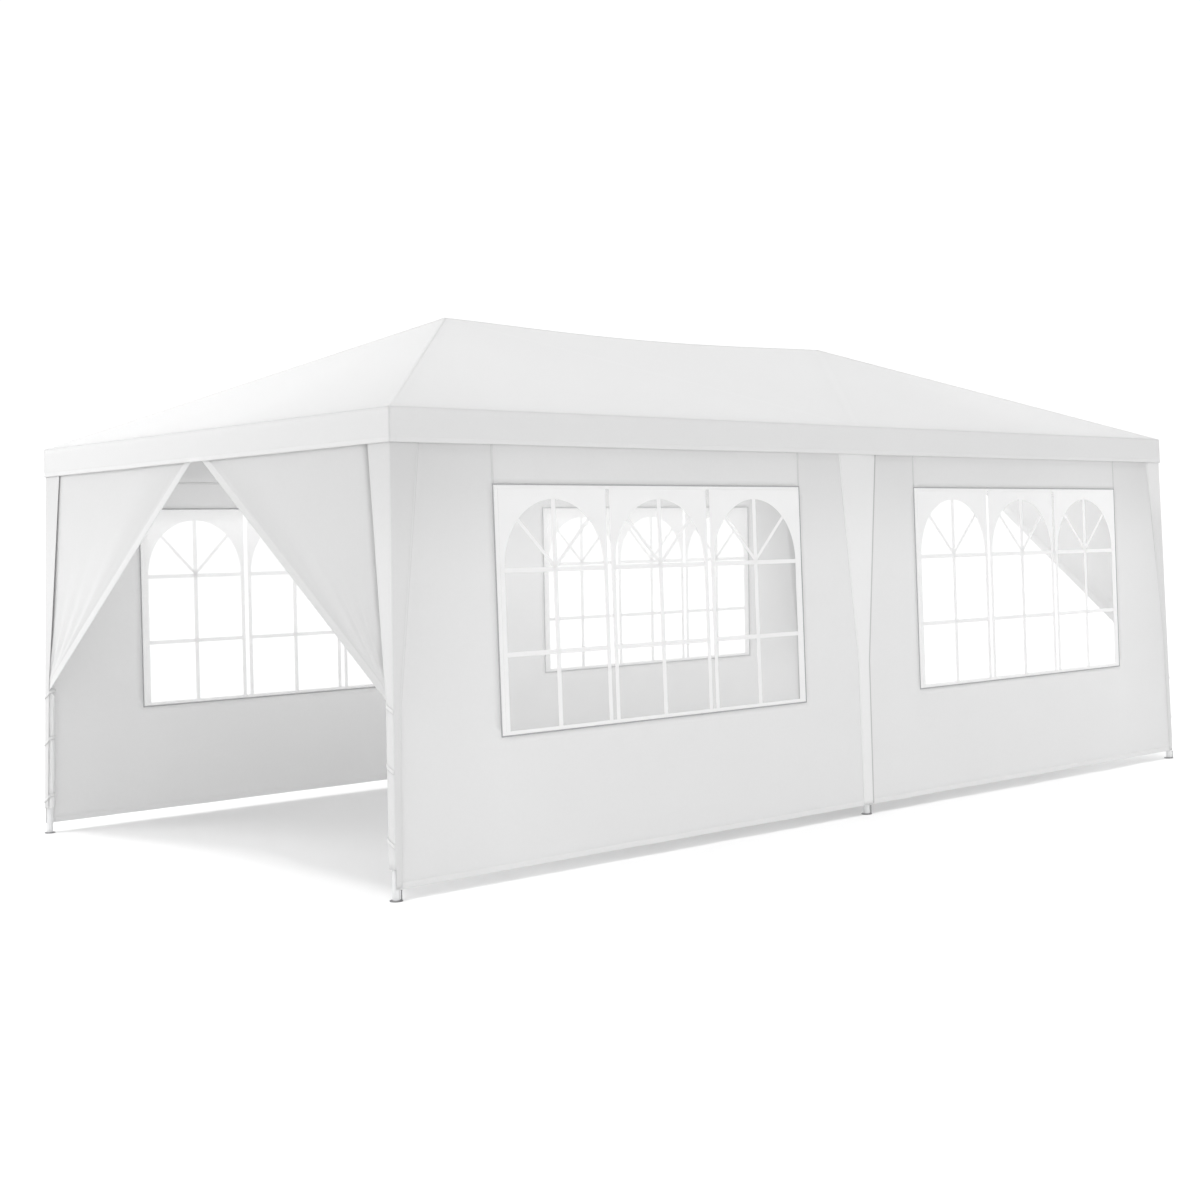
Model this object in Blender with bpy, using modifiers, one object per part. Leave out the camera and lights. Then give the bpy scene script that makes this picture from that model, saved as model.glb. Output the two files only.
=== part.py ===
"""Marquee tent, 6 m by 3 m: a tube frame with two crowns, a hipped cover, window walls and two open doorways.

The long sides run along X, and the front is the -Y side. The doorways are at the two X ends.
The origin is on the ground at the middle of the tent.
"""

import math

import bmesh
import bpy
from mathutils import Matrix, Vector

# Cover
LENGTH = 6.0
WIDTH = 3.0
EAVE_Z = 2.010
PEAK_Z = 2.634
VALANCE_Z = 1.864
RIDGE_SAG = 0.031
RIDGE_STEPS = 8
CLOTH = 0.003
GAP = 0.0003
EDGE_EASE = 0.002
VALANCE_EASE = 0.0007
HEM_Z = 0.050
PANEL_SEAM = 0.002

# Lean of the legs, from the eave to the ground
SPLAY_X = 0.065
SPLAY_Y = 0.030

# Tubes and fittings
TUBE_R = 0.016
TUBE_WALL = 0.001
TUBE_SIDES = 12
STUB = 0.070
SPIGOT = 0.060
SPIGOT_R = 0.0142
SPIGOT_ROOT = 0.035
FOOT_R = 0.0275
FOOT_PLATE = 0.004
FOOT_SIDES = 24

# Windows
WINDOW_WIDTH = 1.990
WINDOW_MIDDLE = 1.466
WINDOW_LOW = 0.620
WINDOW_HIGH = 1.695
FILM = 0.001

# Leg flaps: how far they reach from the corner, at three heights
FLAP_TOP_Z = 1.985
FLAP_NECK_Z = 0.800
FLAP_LOW_Z = 0.130
FLAP_TOP = 0.165
FLAP_NECK = 0.048
FLAP_LOW = 0.042
FLAP_HEIGHTS = (FLAP_LOW_Z, FLAP_NECK_Z, FLAP_TOP_Z)

# Door curtains
CURTAIN_MEET_Z = 1.902
TIE_Z = {
    "left": {"front": 0.810, "back": 0.750},
    "right": {"front": 0.550, "back": 0.550},
}
TIE_DROP = 0.060
TIE_REACH = 0.024
WRAP_R = 0.0218
WRAP_CLOTH = 0.005
WRAP_LOW_Z = 0.110
WRAP_TUCK = 0.020
WRAP_START_DEG = 30
WRAP_END_DEG = 180
WRAP_STEPS = 7

SLOPE = (PEAK_Z - EAVE_Z) / (WIDTH / 2)
ROOF_COS = 1 / math.hypot(1, SLOPE)

# Cloth outside the tubes: a wall or curtain, then a leg flap, then a valance
LAYERS = 3
LAYER = CLOTH + GAP

# The tubes' axes meet at these places, so that each tube touches the cloth that it carries.
NODE_X = LENGTH / 2 - LAYERS * LAYER - TUBE_R
NODE_Y = WIDTH / 2 - LAYERS * LAYER - TUBE_R
TUBE_DROP = (LAYER + TUBE_R) / ROOF_COS
NODE_Z = EAVE_Z + (WIDTH / 2 - NODE_Y) * SLOPE - TUBE_DROP
CROWN_X = LENGTH / 4
CROWN_Z = PEAK_Z - TUBE_DROP

# Outward distance from the tubes' axes to the middle of each layer of hanging cloth
WALL_OUT = TUBE_R + GAP + CLOTH / 2
FLAP_OUT = WALL_OUT + LAYER
VALANCE_OUT = FLAP_OUT + LAYER


class Side:
    """One side of the tent. u runs to the right as seen from outside, and the cloth leans out towards the ground."""

    def __init__(self, turn_deg, reach, lean, run, spread):
        self.turn = Matrix.Rotation(math.radians(turn_deg), 4, "Z")
        self.reach = reach
        self.lean = lean
        self.run = run
        self.spread = spread
        self.angle = math.atan2(lean, NODE_Z)

    def corner(self, z, out=0.0):
        """How far along the side its corner is at a height, with the corner's own tube and cloth."""
        return self.run + out + self.spread * (1 - z / NODE_Z)

    def point(self, u, z, out):
        """The place at u and z on the leaning plane that is this far outside the tubes' axes."""
        away = self.reach + out / math.cos(self.angle) + self.lean * (1 - z / NODE_Z)
        return self.turn @ Vector((u, -away, z))

    def plane(self, out):
        """The matrix that stands a flat outline on the leaning plane, with its origin at the tubes' height."""
        up = Vector((0, math.sin(self.angle), math.cos(self.angle)))
        right = Vector((1, 0, 0))
        normal = right.cross(up)
        place = Matrix((right, up, normal)).transposed().to_4x4()
        place.translation = Vector((0, -self.reach - out / math.cos(self.angle), NODE_Z))
        return self.turn @ place

    def flat(self, u, z):
        """u and z as a point of the flat outline."""
        return u, (z - NODE_Z) / math.cos(self.angle)


SIDES = {
    "front": Side(0, NODE_Y, SPLAY_Y, NODE_X, SPLAY_X),
    "right": Side(90, NODE_X, SPLAY_X, NODE_Y, SPLAY_Y),
    "back": Side(180, NODE_Y, SPLAY_Y, NODE_X, SPLAY_X),
    "left": Side(270, NODE_X, SPLAY_X, NODE_Y, SPLAY_Y),
}

# The sign of u at which each side meets its left and right, or front and back, half in the world
HALVES = {
    "front": {"left": -1, "right": 1},
    "back": {"left": 1, "right": -1},
    "left": {"front": 1, "back": -1},
    "right": {"front": -1, "back": 1},
}


def clear_scene():
    for thing in list(bpy.data.objects):
        bpy.data.objects.remove(thing, do_unlink=True)


def new_collection(name, hidden=False):
    group = bpy.data.collections.new(name)
    group.hide_render = hidden
    bpy.context.scene.collection.children.link(group)
    return group


def make_material(name, colour, roughness, metallic=0.0, alpha=1.0):
    made = bpy.data.materials.new(name)
    made.use_nodes = True
    shader = made.node_tree.nodes["Principled BSDF"]
    shader.inputs["Base Color"].default_value = (*colour, 1)
    shader.inputs["Roughness"].default_value = roughness
    shader.inputs["Metallic"].default_value = metallic
    shader.inputs["Alpha"].default_value = alpha
    return made


def add_mesh(name, shape, group, finish=None):
    """Turns a bmesh into an object."""
    mesh = bpy.data.meshes.new(name)
    shape.to_mesh(mesh)
    shape.free()
    if finish:
        mesh.materials.append(finish)
    made = bpy.data.objects.new(name, mesh)
    group.objects.link(made)
    return made


def solidify(thing, thickness):
    """Gives an open surface its thickness, on the side away from its normals."""
    shell = thing.modifiers.new("thickness", "SOLIDIFY")
    shell.thickness = thickness
    shell.offset = -1
    shell.use_even_offset = True


def unite(thing, other):
    join = thing.modifiers.new("join", "BOOLEAN")
    join.operation = "UNION"
    join.object = other


def make_helper(name, shape, group):
    """An object that is only joined to another, so it is left out of the render."""
    helper = add_mesh(name, shape, group)
    helper.hide_render = True
    helper.display_type = "WIRE"
    return helper


def rod(shape, start, end, radius, sides=TUBE_SIDES, capped=True):
    """Adds a cylinder between two points to a bmesh."""
    along = end - start
    turn = along.to_track_quat("Z", "Y").to_matrix().to_4x4()
    bmesh.ops.create_cone(
        shape,
        cap_ends=capped,
        segments=sides,
        radius1=radius,
        radius2=radius,
        depth=along.length,
        matrix=Matrix.Translation((start + end) / 2) @ turn,
    )


def make_tube(name, start, end, group, finish):
    """A hollow tube between two fittings."""
    shape = bmesh.new()
    rod(shape, start, end, TUBE_R, capped=False)
    for face in shape.faces:
        face.smooth = True
    tube = add_mesh(name, shape, group, finish)
    solidify(tube, TUBE_WALL)
    return tube


def make_fitting(name, centre, targets, group, helpers, finish):
    """A ball with a stub towards each target. Each stub ends in a spigot that goes inside its tube."""
    ball = bmesh.new()
    bmesh.ops.create_uvsphere(
        ball, u_segments=TUBE_SIDES, v_segments=TUBE_SIDES // 2, radius=TUBE_R, matrix=Matrix.Translation(centre)
    )
    arms = bmesh.new()
    for target in targets:
        along = (target - centre).normalized()
        rod(arms, centre, centre + along * STUB, TUBE_R)
        rod(arms, centre + along * SPIGOT_ROOT, centre + along * (STUB + SPIGOT), SPIGOT_R)
    fitting = add_mesh(name, ball, group, finish)
    unite(fitting, make_helper(name + "_arms", arms, helpers))
    fitting.modifiers["join"].use_self = True


def tube_ends(start, end):
    """The tube's two ends, between the stubs of its fittings."""
    along = (end - start).normalized()
    return start + along * (STUB + GAP), end - along * (STUB + GAP)


def node_points():
    """Where the tubes' axes meet at the eave, by name."""
    places = {}
    for row, y in (("front", -NODE_Y), ("back", NODE_Y)):
        for column, x in (("left", -NODE_X), ("middle", 0), ("right", NODE_X)):
            places[row, column] = Vector((x, y, NODE_Z))
    return places


def ground_point(node):
    """Where the leg below an eave fitting meets the ground."""
    lean_x = math.copysign(SPLAY_X, node.x) if node.x else 0
    return Vector((node.x + lean_x, node.y + math.copysign(SPLAY_Y, node.y), 0))


def make_leg(name, node, group, helpers, finish):
    """A leaning tube that is welded to its round foot plate."""
    ground = ground_point(node)
    along = (ground - node).normalized()
    lowest = ground - along * (FOOT_PLATE / 2)
    leg = make_tube(name, node + along * (STUB + GAP), lowest, group, finish)
    plate = bmesh.new()
    rod(plate, ground, ground + Vector((0, 0, FOOT_PLATE)), FOOT_R, FOOT_SIDES)
    unite(leg, make_helper(name + "_plate", plate, helpers))


def make_frame(group, helpers, finish):
    nodes = node_points()
    crowns = {"left": Vector((-CROWN_X, 0, CROWN_Z)), "right": Vector((CROWN_X, 0, CROWN_Z))}
    links = {place: [ground_point(point)] for place, point in nodes.items()}
    crown_links = {"left": [], "right": []}

    def beam(name, start, end):
        make_tube(name, *tube_ends(nodes[start], nodes[end]), group, finish)
        links[start].append(nodes[end])
        links[end].append(nodes[start])

    for row in ("front", "back"):
        for column in ("left", "right"):
            beam(f"eave_beam_{row}_{column}", (row, column), (row, "middle"))
    for column in ("left", "right"):
        beam(f"eave_beam_end_{column}", ("front", column), ("back", column))

    for bay, crown in crowns.items():
        for row in ("front", "back"):
            for column, word in ((bay, "corner"), ("middle", "middle")):
                place = row, column
                make_tube(f"rafter_{bay}_{row}_{word}", *tube_ends(nodes[place], crown), group, finish)
                links[place].append(crown)
                crown_links[bay].append(nodes[place])

    for (row, column), point in nodes.items():
        make_leg(f"leg_{row}_{column}", point, group, helpers, finish)
        make_fitting(f"connector_{row}_{column}", point, links[row, column], group, helpers, finish)
    for bay, crown in crowns.items():
        make_fitting(f"crown_{bay}", crown, crown_links[bay], group, helpers, finish)


def make_long_slope(name, turn_deg, group, finish):
    """A long side of the roof. Between the two inner rafters it sags towards the ridge's middle."""
    top_y = -EDGE_EASE
    top_z = PEAK_Z - EDGE_EASE * SLOPE
    shape = bmesh.new()
    left = shape.verts.new((-LENGTH / 2 + EDGE_EASE, -WIDTH / 2, EAVE_Z))
    middle = shape.verts.new((0, -WIDTH / 2, EAVE_Z))
    right = shape.verts.new((LENGTH / 2 - EDGE_EASE, -WIDTH / 2, EAVE_Z))
    ridge = []
    for step in range(RIDGE_STEPS + 1):
        share = 2 * step / RIDGE_STEPS - 1
        sag = RIDGE_SAG * (1 - share**2)
        ridge.append(shape.verts.new((share * CROWN_X, top_y, top_z - sag)))
    shape.faces.new((left, middle, ridge[0]))
    for first, second in zip(ridge, ridge[1:]):
        shape.faces.new((middle, second, first))
    shape.faces.new((middle, right, ridge[-1]))
    shape.transform(Matrix.Rotation(math.radians(turn_deg), 4, "Z"))
    solidify(add_mesh(name, shape, group, finish), CLOTH)


def make_end_slope(name, turn_deg, group, finish):
    """A triangular end of the roof."""
    shape = bmesh.new()
    half = WIDTH / 2 - EDGE_EASE
    corners = [
        (-half, -LENGTH / 2, EAVE_Z),
        (half, -LENGTH / 2, EAVE_Z),
        (0, -CROWN_X - EDGE_EASE, PEAK_Z - EDGE_EASE * SLOPE),
    ]
    shape.faces.new([shape.verts.new(corner) for corner in corners])
    shape.transform(Matrix.Rotation(math.radians(turn_deg), 4, "Z"))
    solidify(add_mesh(name, shape, group, finish), CLOTH)


def make_panel(name, side, out, thickness, outlines, group, finish):
    """A flat piece of cloth on a side's leaning plane. A second outline is a hole."""
    curve = bpy.data.curves.new(name, "CURVE")
    curve.dimensions = "2D"
    curve.fill_mode = "BOTH"
    curve.extrude = thickness / 2
    for outline in outlines:
        spline = curve.splines.new("POLY")
        spline.points.add(len(outline) - 1)
        for point, (u, z) in zip(spline.points, outline):
            point.co = (*side.flat(u, z), 0, 1)
        spline.use_cyclic_u = True
    curve.materials.append(finish)
    panel = bpy.data.objects.new(name, curve)
    panel.matrix_world = side.plane(out)
    group.objects.link(panel)


def make_valances(group, finish):
    """Strips that hang from the eave. Those at the ends fit between those on the long sides."""
    top = EAVE_Z - CLOTH * ROOF_COS - VALANCE_EASE
    for name, side in SIDES.items():
        past_corner = VALANCE_OUT + CLOTH / 2
        if name in ("left", "right"):
            past_corner -= LAYER
        outline = [
            (-side.corner(top, past_corner), top),
            (-side.corner(VALANCE_Z, past_corner), VALANCE_Z),
            (side.corner(VALANCE_Z, past_corner), VALANCE_Z),
            (side.corner(top, past_corner), top),
        ]
        make_panel(f"valance_{name}", side, VALANCE_OUT, CLOTH, [outline], group, finish)


def window_outline(sign, shrink):
    half = WINDOW_WIDTH / 2 - shrink
    low, high = WINDOW_LOW + shrink, WINDOW_HIGH - shrink
    middle = sign * WINDOW_MIDDLE
    return [(middle - half, low), (middle + half, low), (middle + half, high), (middle - half, high)]


def make_walls(group, cloth, film):
    """Two panels on each long side, with a film in the window of each."""
    for row in ("front", "back"):
        side = SIDES[row]
        for column, sign in HALVES[row].items():
            inner = sign * PANEL_SEAM / 2
            outline = [
                (inner, HEM_Z),
                (sign * side.corner(HEM_Z, TUBE_R), HEM_Z),
                (sign * side.corner(NODE_Z, TUBE_R), NODE_Z),
                (inner, NODE_Z),
            ]
            hole = window_outline(sign, 0)
            make_panel(f"wall_{row}_{column}", side, WALL_OUT, CLOTH, [outline, hole], group, cloth)
            pane = window_outline(sign, GAP)
            make_panel(f"window_film_{row}_{column}", side, WALL_OUT, FILM, [pane], group, film)


def flap_reach(z):
    """How far a leg flap reaches from the corner, or to each side of a middle leg, at a height."""
    if z >= FLAP_NECK_Z:
        share = (z - FLAP_NECK_Z) / (FLAP_TOP_Z - FLAP_NECK_Z)
        return FLAP_NECK + share * (FLAP_TOP - FLAP_NECK)
    share = (z - FLAP_LOW_Z) / (FLAP_NECK_Z - FLAP_LOW_Z)
    return FLAP_LOW + share * (FLAP_NECK - FLAP_LOW)


def make_corner_flap(name, long_side, end_side, sign, group, finish):
    """A flap that wraps a corner: an arm on the long side, and one on the end."""
    out = FLAP_OUT + CLOTH / 2
    shape = bmesh.new()
    edge = [shape.verts.new(long_side.point(sign * long_side.corner(z, out), z, out)) for z in FLAP_HEIGHTS]
    for side, turned in ((long_side, sign), (end_side, -sign)):
        inner = []
        for z in FLAP_HEIGHTS:
            u = turned * (side.corner(z, out) - flap_reach(z))
            inner.append(shape.verts.new(side.point(u, z, out)))
        shape.faces.new(edge + inner[::-1])
    bmesh.ops.recalc_face_normals(shape, faces=shape.faces)
    middle = sum((vert.co for vert in edge), Vector()) / len(edge)
    if shape.faces[:][0].normal.dot(middle * Vector((1, 1, 0))) < 0:
        bmesh.ops.reverse_faces(shape, faces=shape.faces)
    solidify(add_mesh(name, shape, group, finish), CLOTH)


def make_flaps(group, finish):
    for row in ("front", "back"):
        for column, sign in HALVES[row].items():
            make_corner_flap(f"leg_flap_{row}_{column}", SIDES[row], SIDES[column], sign, group, finish)
        rising = [(flap_reach(z), z) for z in FLAP_HEIGHTS]
        falling = [(-flap_reach(z), z) for z in reversed(FLAP_HEIGHTS)]
        make_panel(f"leg_flap_{row}_middle", SIDES[row], FLAP_OUT, CLOTH, [rising + falling], group, finish)


def make_wrap(name, side, sign, top_z, helpers):
    """The gathered lower half of a curtain. It lies round its leg, from the doorway's side to the inside."""
    rows = []
    wrap = bmesh.new()
    for z in (WRAP_LOW_Z, top_z):
        row = []
        for step in range(WRAP_STEPS + 1):
            turned = math.radians(WRAP_START_DEG + (WRAP_END_DEG - WRAP_START_DEG) * step / WRAP_STEPS)
            u = side.corner(z) - WRAP_R * math.sin(turned)
            row.append(wrap.verts.new(side.point(sign * u, z, WRAP_R * math.cos(turned))))
        rows.append(row)
    low, high = rows
    for step in range(WRAP_STEPS):
        corners = [low[step], low[step + 1], high[step + 1], high[step]]
        wrap.faces.new(corners if sign < 0 else corners[::-1])
    helper = make_helper(name + "_wrap", wrap, helpers)
    solidify(helper, WRAP_CLOTH)
    return helper


def make_curtain(name, side, sign, tie_z, group, helpers, finish):
    """Half of a door, tied back to its leg: a swag above the tie, and the gathered rest round the leg."""
    out = WALL_OUT + CLOTH / 2
    tie_u = side.corner(tie_z) - TIE_REACH
    outline = [
        (PANEL_SEAM / 2, NODE_Z),
        (PANEL_SEAM / 2, CURTAIN_MEET_Z),
        (tie_u, tie_z),
        (tie_u, tie_z - TIE_DROP),
        (side.corner(tie_z - TIE_DROP, TUBE_R), tie_z - TIE_DROP),
        (side.corner(NODE_Z, TUBE_R), NODE_Z),
    ]
    swag = bmesh.new()
    swag.faces.new([swag.verts.new(side.point(sign * u, z, out)) for u, z in outline])
    face = swag.faces[:][0]
    face.normal_update()
    if face.normal.dot(side.turn @ Vector((0, -1, 0))) < 0:
        bmesh.ops.reverse_faces(swag, faces=[face])
    curtain = add_mesh(name, swag, group, finish)
    solidify(curtain, CLOTH)
    unite(curtain, make_wrap(name, side, sign, tie_z - WRAP_TUCK, helpers))


def make_curtains(group, helpers, finish):
    for end in ("left", "right"):
        for row, sign in HALVES[end].items():
            tie_z = TIE_Z[end][row]
            make_curtain(f"curtain_{end}_{row}", SIDES[end], sign, tie_z, group, helpers, finish)


def main():
    clear_scene()
    tent = new_collection("marquee_tent")
    helpers = new_collection("helpers", hidden=True)
    paint = make_material("frame_paint", (0.86, 0.87, 0.88), 0.35)
    roof = make_material("roof_cloth", (0.90, 0.90, 0.90), 0.60)
    walls = make_material("wall_cloth", (0.88, 0.88, 0.88), 0.65)
    film = make_material("window_film", (0.95, 0.96, 0.97), 0.08, alpha=0.2)

    make_frame(tent, helpers, paint)
    make_long_slope("roof_slope_front", 0, tent, roof)
    make_long_slope("roof_slope_back", 180, tent, roof)
    make_end_slope("roof_slope_right", 90, tent, roof)
    make_end_slope("roof_slope_left", 270, tent, roof)
    make_valances(tent, roof)
    make_walls(tent, walls, film)
    make_flaps(tent, roof)
    make_curtains(tent, helpers, walls)


main()
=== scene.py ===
import math

import bmesh
import bpy
from mathutils import Matrix, Vector, noise


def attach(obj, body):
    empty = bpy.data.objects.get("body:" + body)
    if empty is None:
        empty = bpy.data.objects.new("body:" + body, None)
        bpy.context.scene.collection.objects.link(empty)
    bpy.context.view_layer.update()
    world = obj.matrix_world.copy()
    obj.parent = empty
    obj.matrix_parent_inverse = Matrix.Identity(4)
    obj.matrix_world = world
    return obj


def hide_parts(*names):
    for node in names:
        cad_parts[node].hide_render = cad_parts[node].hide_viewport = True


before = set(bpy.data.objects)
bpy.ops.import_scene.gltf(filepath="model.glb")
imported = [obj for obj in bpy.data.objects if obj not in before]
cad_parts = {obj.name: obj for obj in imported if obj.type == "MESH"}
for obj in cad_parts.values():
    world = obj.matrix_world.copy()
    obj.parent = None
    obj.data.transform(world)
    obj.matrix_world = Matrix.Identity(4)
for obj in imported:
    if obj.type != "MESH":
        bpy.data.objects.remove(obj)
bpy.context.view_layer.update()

# Driving sizes of the frame, in metres
LENGTH = 6.0
WIDTH = 3.0
EAVE_Z = 2.010
PEAK_Z = 2.634
VALANCE_Z = 1.864
RIDGE_SAG = 0.031
HEM_Z = 0.050
CLOTH = 0.003
GAP = 0.0003
PANEL_SEAM = 0.002
TUBE_R = 0.016
SPLAY_X = 0.065
SPLAY_Y = 0.030
CURTAIN_MEET_Z = 1.902
TIE_Z = {
    "left": {"front": 0.810, "back": 0.750},
    "right": {"front": 0.550, "back": 0.550},
}
TIE_REACH = 0.024
WINDOW_NEAR = 0.471
WINDOW_FAR = 2.461
WINDOW_LOW = 0.620
WINDOW_HIGH = 1.695
FLAP_TOP_Z = 1.985
FLAP_NECK_Z = 0.800
FLAP_LOW_Z = 0.130
FLAP_TOP = 0.165
FLAP_NECK = 0.048
FLAP_LOW = 0.042

SLOPE = (PEAK_Z - EAVE_Z) / (WIDTH / 2)
LAYER = CLOTH + GAP
NODE_X = LENGTH / 2 - 3 * LAYER - TUBE_R
NODE_Y = WIDTH / 2 - 3 * LAYER - TUBE_R
TUBE_DROP = (LAYER + TUBE_R) * math.hypot(1, SLOPE)
NODE_Z = EAVE_Z + (WIDTH / 2 - NODE_Y) * SLOPE - TUBE_DROP
CROWN_X = LENGTH / 4
CROWN_Z = PEAK_Z - TUBE_DROP
CROWNS = {"left": -CROWN_X, "right": CROWN_X}
WALL_OUT = TUBE_R + GAP + CLOTH / 2
FLAP_OUT = WALL_OUT + LAYER
VALANCE_FACE = FLAP_OUT + LAYER + CLOTH / 2
WINDOW_MIDDLE = (WINDOW_NEAR + WINDOW_FAR) / 2
WINDOW_WIDTH = WINDOW_FAR - WINDOW_NEAR

# What the sheets are really like
SHEET = 0.0010
FILM = 0.0006
STITCH_GROOVE = 0.0006
HUNG = {"thickness": SHEET, "offset": 0}

# The camera, fitted to the photograph
EYE = (-7.5085, -7.5111, 1.3908)
LENS = 55.18
SENSOR = 36.0
LOOK_AZIMUTH = 43.24
LOOK_DOWN = 1.46
LOOK_ROLL = -1.53

ROWS = ("front", "back")
ENDS = ("left", "right")


class Side:
    """One side of the tent. u runs to the right as seen from outside, and the cloth leans out downwards."""

    def __init__(self, index, is_long):
        sizes = ((LENGTH / 2, NODE_X, SPLAY_X), (WIDTH / 2, NODE_Y, SPLAY_Y))
        along, across = sizes if is_long else sizes[::-1]
        self.eave_half, self.run, self.spread = along
        self.eave_out, self.reach, self.lean = across
        self.bays = 2 if is_long else 1
        self.index = index
        self.turn = Matrix.Rotation(math.radians(90 * index), 4, "Z")
        self.angle = math.atan2(self.lean, NODE_Z)

    def corner(self, z, out=0.0):
        """How far along the side its corner is at a height, this far outside the corner's tube."""
        return self.run + out + self.spread * (1 - z / NODE_Z)

    def point(self, u, z, out):
        """The place at u and z on the leaning plane that is this far outside the tubes' axes."""
        away = self.reach + out / math.cos(self.angle) + self.lean * (1 - z / NODE_Z)
        return self.turn @ Vector((u, -away, z))


SIDES = {name: Side(index, name in ROWS) for index, name in enumerate(("front", "right", "back", "left"))}

# The sign of u in each side's left and right, or front and back, half
HALVES = {
    "front": {"left": -1, "right": 1},
    "back": {"left": 1, "right": -1},
    "left": {"front": 1, "back": -1},
    "right": {"front": -1, "back": 1},
}


def smooth(low, high, value):
    """0 below low, 1 above high, and a smooth rise between them."""
    share = min(max((value - low) / (high - low), 0), 1)
    return share * share * (3 - 2 * share)


def lerp(start, end, share):
    return start + (end - start) * share


def spaced(low, high, count):
    return [lerp(low, high, step / count) for step in range(count + 1)]


def drift(x, y, z):
    """Smooth noise, mostly between -1 and 1."""
    return noise.noise(Vector((x, y, z)))


def eave_points(half_length, half_width, z):
    """The corners of a level rectangle and the middles of its long sides, by row and column."""
    return {
        (row, column): Vector((x, y, z))
        for row, y in zip(ROWS, (-half_width, half_width))
        for column, x in (("left", -half_length), ("middle", 0), ("right", half_length))
    }


def new_object(name, data):
    made = bpy.data.objects.new(name, data)
    bpy.context.scene.collection.objects.link(made)
    return made


# Meshes

SHARP = math.radians(35)
TENT_MIDDLE = Vector((0, 0, 1.0))


class Builder:
    """Gathers patches, rods and turned shapes, and makes one piece of them."""

    def __init__(self):
        self.shape = bmesh.new()
        # Each point's folds of cloth, plus the painted light and painted shade that some pieces add
        self.folds_and_painted_light = self.shape.verts.layers.float.new("folds_and_painted_light")

    def patch(self, rows, hole=None, closed=False, looped=False, folds_and_painted_light=None):
        """Quads between rows of points.

        hole(row, column) says which quads are left out, and the last argument, a function of (row, column),
        gives each point its folds of cloth, painted light and painted shade. closed joins the ends of each
        row, and looped the last row to the first.
        """
        made = [[self.shape.verts.new(point) for point in row] for row in rows]
        for row, verts in enumerate(made):
            for column, vert in enumerate(verts):
                vert[self.folds_and_painted_light] = folds_and_painted_light(row, column) if folds_and_painted_light else 0.0
        for row in range(len(made) - (0 if looped else 1)):
            this, following = made[row], made[(row + 1) % len(made)]
            for column in range(len(this) - (0 if closed else 1)):
                if not (hole and hole(row, column)):
                    after = (column + 1) % len(this)
                    self.shape.faces.new((this[column], this[after], following[after], following[column]))

    def rod(self, start, end, radius, tip, sides):
        """A capped cylinder or cone. tip is the radius at its end."""
        along = end - start
        turn = along.to_track_quat("Z", "Y").to_matrix().to_4x4()
        place = Matrix.Translation((start + end) / 2) @ turn
        sizes = {"radius1": radius, "radius2": tip, "depth": along.length, "segments": sides}
        bmesh.ops.create_cone(self.shape, cap_ends=True, matrix=place, **sizes)

    def lathe(self, start, end, profile, sides=24):
        """A closed turned shape along a line. profile is a loop of (distance along, radius)."""
        along = (end - start).normalized()
        turn = along.to_track_quat("Z", "Y").to_matrix()
        angles = [math.tau * step / sides for step in range(sides)]
        ring = [turn @ Vector((math.cos(angle), math.sin(angle), 0)) for angle in angles]
        rows = [[start + along * far + spoke * radius for spoke in ring] for far, radius in profile]
        self.patch(rows, closed=True, looped=True)

    def face_out(self, centre):
        """Turns the faces of each stretch of open cloth so that they look away from the centre."""
        seen = set()
        for first in self.shape.faces:
            if first in seen:
                continue
            seen.add(first)
            stretch = [first]
            for face in stretch:
                joined = {other for edge in face.edges for other in edge.link_faces} - seen
                seen |= joined
                stretch += joined
            facing = sum(f.normal.dot(f.calc_center_median() - centre) * f.calc_area() for f in stretch)
            if facing < 0:
                bmesh.ops.reverse_faces(self.shape, faces=stretch)

    def piece(self, name, material, slot, *replaced, thickness=0, offset=-1.0, flat=False, hard=False,
              centre=TENT_MIDDLE):
        """The finished piece, which rides on the tent's one body and replaces these nodes.

        A thickness makes a shell of open cloth that faces away from the centre. flat shades the
        faces flat, and hard keeps their edges.
        """
        bmesh.ops.recalc_face_normals(self.shape, faces=self.shape.faces)
        if thickness:
            self.face_out(centre)
        loose = [vert for vert in self.shape.verts if not vert.link_faces]
        bmesh.ops.delete(self.shape, geom=loose, context="VERTS")
        for face in self.shape.faces:
            face.smooth = not flat
        mesh = bpy.data.meshes.new(name)
        self.shape.to_mesh(mesh)
        self.shape.free()
        mesh.materials.append(material)
        if hard:
            mesh.set_sharp_from_angle(angle=SHARP)
        made = new_object(name, mesh)
        if thickness:
            shell = made.modifiers.new("thickness", "SOLIDIFY")
            shell.thickness = thickness
            shell.offset = offset
            shell.use_even_offset = True
        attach(made, "root")
        if replaced:
            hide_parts(*replaced)
        return made


# Materials

WEAVE_PITCH = 0.0028
# Painted shade greys hanging cloth between these heights, most towards the eave
SHADE_FROM_Z = EAVE_Z - 0.75
SHADE_TO_Z = EAVE_Z - 0.10
# How much lighter the cloth gets per fold and per unit of painted light
FOLD_AND_PAINTED_LIGHT_GAIN = 0.05
FOLD_BLOCKS = 0.4


def grey(value):
    return (value, value, value)


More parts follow.
